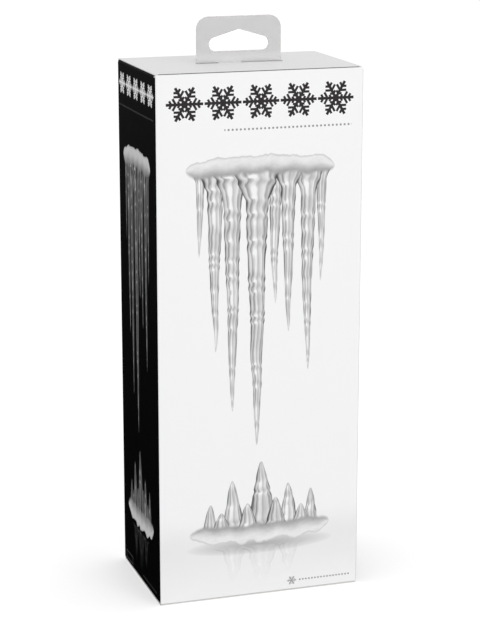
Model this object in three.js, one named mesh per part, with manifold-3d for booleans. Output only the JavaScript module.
// A folding carton with a tuck-in lid and a clear plastic hang tab, as sold on a shop hook.
// Millimetres, +Z up. The origin is the middle of the base, the printed front faces -Y, and the lid
// is creased to the top of the back wall. One blank of board makes the carton, so its meshes are the
// flat panels between the creases; the hang tab is a separate sheet pushed through the lid.
import * as THREE from "three";
import { mergeVertices } from "three/addons/utils/BufferGeometryUtils.js";
import Module from "manifold-3d";

const wasm = await Module();
wasm.setup();

// Driving dimensions of the closed carton, over its outside.
const WIDTH = 108;
const DEPTH = 72;
const HEIGHT = 274;
const BOARD = 0.5; // thickness of the board
const CREASE = 0.1; // slack between two panels that meet along a crease

// Closures.
const TUCK_LENGTH = 16;
const TUCK_LEAN = 12; // degrees that the tucked flap leans in from the front wall
const TUCK_SIDE_GAP = 2; // from the tuck flap's end to the carton's outer side
const TUCK_CORNER = 8;
const DUST_FLAP_LENGTH = 27;
const DUST_FLAP_TAPER = 15; // degrees, on the edge beside the tuck flap
const DUST_FLAP_FRONT_GAP = 2; // from the taper's root to the front wall's outer face
const DUST_FLAP_BACK_GAP = 1.5;
const DUST_FLAP_CORNER = 4;
const LID_SIDE_GAP = 0.4; // from the lid's cut edge to the carton's outer side
const LID_FRONT_GAP = 0.3; // from the lid's front crease to the front wall
const RIM_DROP = 0.3; // the front wall's cut edge stands this far below the lid's top
const BOTTOM_INNER_DEPTH = 54;
const BOTTOM_DUST_LENGTH = 36;
const GLUE_FLAP_WIDTH = 14;
const GLUE_FLAP_TAPER = 6;

// Hang tab and the slits that hold it. Widths run along X.
const TAB_WIDTH = 45;
const TAB_RISE = 23.5; // above the lid
const TAB_CORNER = 6.5;
const TAB_THICKNESS = 0.5;
const LEG_DROP = 8; // below the lid
const LEFT_LEG_WIDTH = 11;
const RIGHT_LEG_WIDTH = 21;
const BARB = 1.5; // how far each leg's outer edge hooks under the lid
const BARB_GAP = 0.3; // from the hook to the lid's underside
const SLIT_WIDTH = 1.6;
const SLIT_END_GAP = 0.5;

// Hook hole in the tab: a low roof shape with round ends.
const HOLE_WIDTH = 31.5;
const HOLE_SILL = 6; // above the lid
const HOLE_END_RADIUS = 3.1;
const HOLE_APEX = 16.8; // above the lid
const HOLE_APEX_RADIUS = 3;

const halfWidth = WIDTH / 2;
const halfDepth = DEPTH / 2;
const innerX = halfWidth - BOARD;
const innerY = halfDepth - BOARD;
const lidBottom = HEIGHT - BOARD;
const dustTop = lidBottom - CREASE;
const dustBottom = dustTop - BOARD;
const wallBottom = BOARD + CREASE;
const layerPitch = BOARD + CREASE;

const WHITE_PRINT = { color: 0xf1f1f1, roughness: 0.42, metalness: 0 };
const BLACK_PRINT = { color: 0x050505, roughness: 0.38, metalness: 0 };
const BARE_BOARD = { color: 0xdcdad4, roughness: 0.9, metalness: 0 };
const CLEAR_PLASTIC = { color: 0xd8d6d7, roughness: 0.25, metalness: 0, transparent: true, opacity: 0.6 };

const carton = new THREE.Group();

function addMesh(name, geometry, finish, parent = carton) {
  const mesh = new THREE.Mesh(geometry, new THREE.MeshStandardMaterial(finish));
  mesh.name = name;
  parent.add(mesh);
  return mesh;
}

function sheetOf(outline, thickness) {
  return new THREE.ExtrudeGeometry(outline, { depth: thickness, bevelEnabled: false, curveSegments: 6 });
}

function boxBetween(low, high) {
  const size = new THREE.Vector3().subVectors(high, low);
  const middle = new THREE.Vector3().addVectors(low, high).multiplyScalar(0.5);
  return new THREE.BoxGeometry(size.x, size.y, size.z).translate(middle.x, middle.y, middle.z);
}

// A flat panel given by its lowest and highest corners.
function addPanel(name, low, high, finish) {
  addMesh(name, boxBetween(low, high), finish);
}

function solidOf(geometry) {
  const bare = geometry.clone();
  bare.deleteAttribute("normal");
  bare.deleteAttribute("uv");
  const merged = mergeVertices(bare);
  return new wasm.Manifold(new wasm.Mesh({
    numProp: 3,
    vertProperties: merged.attributes.position.array,
    triVerts: new Uint32Array(merged.index.array),
  }));
}

function cutAway(geometry, cutters) {
  const whole = solidOf(geometry);
  const mesh = cutters.reduce((solid, cutter) => solid.subtract(solidOf(cutter)), whole).getMesh();
  const result = new THREE.BufferGeometry();
  result.setAttribute("position", new THREE.BufferAttribute(mesh.vertProperties, 3));
  result.setIndex(new THREE.BufferAttribute(mesh.triVerts, 1));
  return result;
}

// A closed outline with round corners, from corner points given anticlockwise as [x, y, radius].
function roundedOutline(corners, Outline = THREE.Shape) {
  const outline = new Outline();
  const count = corners.length;
  corners.forEach(([x, y, radius], i) => {
    const corner = new THREE.Vector2(x, y);
    const before = new THREE.Vector2(...corners[(i + count - 1) % count].slice(0, 2)).sub(corner).normalize();
    const after = new THREE.Vector2(...corners[(i + 1) % count].slice(0, 2)).sub(corner).normalize();
    const halfAngle = Math.acos(THREE.MathUtils.clamp(before.dot(after), -1, 1)) / 2;
    const setback = radius / Math.tan(halfAngle);
    const start = corner.clone().addScaledVector(before, setback);
    const end = corner.clone().addScaledVector(after, setback);
    if (i === 0) outline.moveTo(start.x, start.y);
    else outline.lineTo(start.x, start.y);
    if (radius === 0) return;
    const centre = before.clone().add(after).normalize().multiplyScalar(radius / Math.sin(halfAngle)).add(corner);
    const from = start.clone().sub(centre).angle();
    const to = end.clone().sub(centre).angle();
    const leftTurn = after.cross(before) > 0;
    outline.absarc(centre.x, centre.y, radius, from, to, !leftTurn);
  });
  outline.closePath();
  return outline;
}

function addWalls() {
  const frontTop = HEIGHT - RIM_DROP;
  const backTop = dustTop;
  const sideTop = dustBottom - CREASE;
  const sideY = innerY - CREASE;
  addPanel("front_panel", new THREE.Vector3(-halfWidth, -halfDepth, wallBottom),
    new THREE.Vector3(halfWidth, -innerY, frontTop), WHITE_PRINT);
  addPanel("back_panel", new THREE.Vector3(-halfWidth, innerY, wallBottom),
    new THREE.Vector3(halfWidth, halfDepth, backTop), WHITE_PRINT);
  addPanel("left_side_panel", new THREE.Vector3(-halfWidth, -sideY, wallBottom),
    new THREE.Vector3(-innerX, sideY, sideTop), BLACK_PRINT);
  addPanel("right_side_panel", new THREE.Vector3(innerX, -sideY, wallBottom),
    new THREE.Vector3(halfWidth, sideY, sideTop), BLACK_PRINT);
}

// The strip that closes the sleeve: creased to the right side, glued inside the back wall.
function addGlueFlap() {
  const low = wallBottom + 2 * layerPitch;
  const high = dustBottom - CREASE;
  const outline = roundedOutline([
    [innerX - CREASE - GLUE_FLAP_WIDTH, low + GLUE_FLAP_TAPER, 0],
    [innerX - CREASE, low, 0],
    [innerX - CREASE, high, 0],
    [innerX - CREASE - GLUE_FLAP_WIDTH, high - GLUE_FLAP_TAPER, 0],
  ]);
  const flap = addMesh("glue_flap", sheetOf(outline, BOARD), BARE_BOARD);
  flap.rotation.x = Math.PI / 2;
  flap.position.y = innerY - CREASE;
}

// The glued bottom, from the outside in: a full flap, a part-depth flap and two dust flaps.
function addBottom() {
  addPanel("bottom_outer_flap", new THREE.Vector3(-halfWidth, -halfDepth, 0),
    new THREE.Vector3(halfWidth, halfDepth, BOARD), WHITE_PRINT);
  addPanel("bottom_inner_flap", new THREE.Vector3(CREASE - innerX, CREASE - innerY, layerPitch),
    new THREE.Vector3(innerX - CREASE, BOTTOM_INNER_DEPTH - innerY, layerPitch + BOARD), BARE_BOARD);
  const dustLow = 2 * layerPitch;
  for (const [side, sign] of [["left", -1], ["right", 1]]) {
    const root = sign * (innerX - CREASE);
    const end = sign * (innerX - CREASE - BOTTOM_DUST_LENGTH);
    addPanel(`bottom_dust_flap_${side}`,
      new THREE.Vector3(Math.min(root, end), DUST_FLAP_FRONT_GAP - halfDepth, dustLow),
      new THREE.Vector3(Math.max(root, end), halfDepth - DUST_FLAP_FRONT_GAP, dustLow + BOARD), BARE_BOARD);
  }
}

// A dust flap lies under the lid. Its root is the crease on top of the side wall.
function addTopDustFlap(side, sign) {
  const root = innerX - CREASE;
  const end = root - DUST_FLAP_LENGTH;
  const front = DUST_FLAP_FRONT_GAP - halfDepth;
  const back = halfDepth - DUST_FLAP_BACK_GAP;
  const frontEnd = front + DUST_FLAP_LENGTH * Math.tan(THREE.MathUtils.degToRad(DUST_FLAP_TAPER));
  const corners = [
    [root, front, 0],
    [root, back, 0],
    [end, back, DUST_FLAP_CORNER],
    [end, frontEnd, DUST_FLAP_CORNER],
  ];
  const mirrored = corners.map(([x, y, radius]) => [-x, y, radius]).reverse();
  const outline = roundedOutline(sign > 0 ? corners : mirrored);
  addMesh(`dust_flap_${side}`, sheetOf(outline, BOARD), BARE_BOARD).position.z = dustBottom;
}

const leftSlit = { start: -TAB_WIDTH / 2 - SLIT_END_GAP, end: -TAB_WIDTH / 2 + LEFT_LEG_WIDTH + SLIT_END_GAP };
const rightSlit = { start: TAB_WIDTH / 2 - RIGHT_LEG_WIDTH - SLIT_END_GAP, end: TAB_WIDTH / 2 + SLIT_END_GAP };

function addLid() {
  const side = halfWidth - LID_SIDE_GAP;
  const front = LID_FRONT_GAP - innerY;
  const back = halfDepth - CREASE;
  const board = boxBetween(new THREE.Vector3(-side, front, lidBottom), new THREE.Vector3(side, back, HEIGHT));
  const slits = [leftSlit, rightSlit].map(({ start, end }) => boxBetween(
    new THREE.Vector3(start, -SLIT_WIDTH / 2, lidBottom - BOARD),
    new THREE.Vector3(end, SLIT_WIDTH / 2, HEIGHT + BOARD)));
  addMesh("lid_panel", cutAway(board, slits), WHITE_PRINT);
}

// The tuck flap hangs from the lid's front crease, inside the front wall.
function addTuckFlap() {
  const side = halfWidth - TUCK_SIDE_GAP;
  const top = -BOARD - 3 * CREASE; // the lean lifts the flap's inner edge towards the lid
  const outline = roundedOutline([
    [-side, top, 0],
    [-side, top - TUCK_LENGTH, TUCK_CORNER],
    [side, top - TUCK_LENGTH, TUCK_CORNER],
    [side, top, 0],
  ]);
  const fold = new THREE.Group();
  fold.position.set(0, LID_FRONT_GAP - innerY, HEIGHT);
  fold.rotation.x = THREE.MathUtils.degToRad(TUCK_LEAN);
  const flap = addMesh("tuck_flap", sheetOf(outline, BOARD), WHITE_PRINT, fold);
  flap.rotation.x = Math.PI / 2;
  flap.position.y = BOARD;
  carton.add(fold);
}

// The hang tab stands across the middle of the lid. Between its legs it sits on the board.
function addHangTab() {
  const half = TAB_WIDTH / 2;
  const top = TAB_RISE;
  const seat = CREASE;
  const hook = -BOARD - BARB_GAP;
  const foot = -BOARD - LEG_DROP;
  const leftInner = -half + LEFT_LEG_WIDTH;
  const rightInner = half - RIGHT_LEG_WIDTH;
  const outline = roundedOutline([
    [-half, top, TAB_CORNER],
    [-half, hook, 0],
    [-half - BARB, hook, 0],
    [-half, foot, 0],
    [leftInner, foot, 1],
    [leftInner, seat, 0],
    [rightInner, seat, 0],
    [rightInner, foot, 1],
    [half, foot, 0],
    [half + BARB, hook, 0],
    [half, hook, 0],
    [half, top, TAB_CORNER],
  ]);
  const end = HOLE_WIDTH / 2;
  const shoulder = HOLE_SILL + 2.3 * HOLE_END_RADIUS;
  outline.holes.push(roundedOutline([
    [-end, HOLE_SILL, HOLE_END_RADIUS],
    [end, HOLE_SILL, HOLE_END_RADIUS],
    [end, shoulder - 1, HOLE_END_RADIUS * 0.75],
    [0, HOLE_APEX, HOLE_APEX_RADIUS],
    [-end, shoulder - 1, HOLE_END_RADIUS * 0.75],
  ], THREE.Path));
  const tab = addMesh("hang_tab", sheetOf(outline, TAB_THICKNESS), CLEAR_PLASTIC);
  tab.rotation.x = Math.PI / 2;
  tab.position.set(0, TAB_THICKNESS / 2, HEIGHT);
}

addWalls();
addGlueFlap();
addBottom();
addTopDustFlap("left", -1);
addTopDustFlap("right", 1);
addLid();
addTuckFlap();
addHangTab();

export default carton;
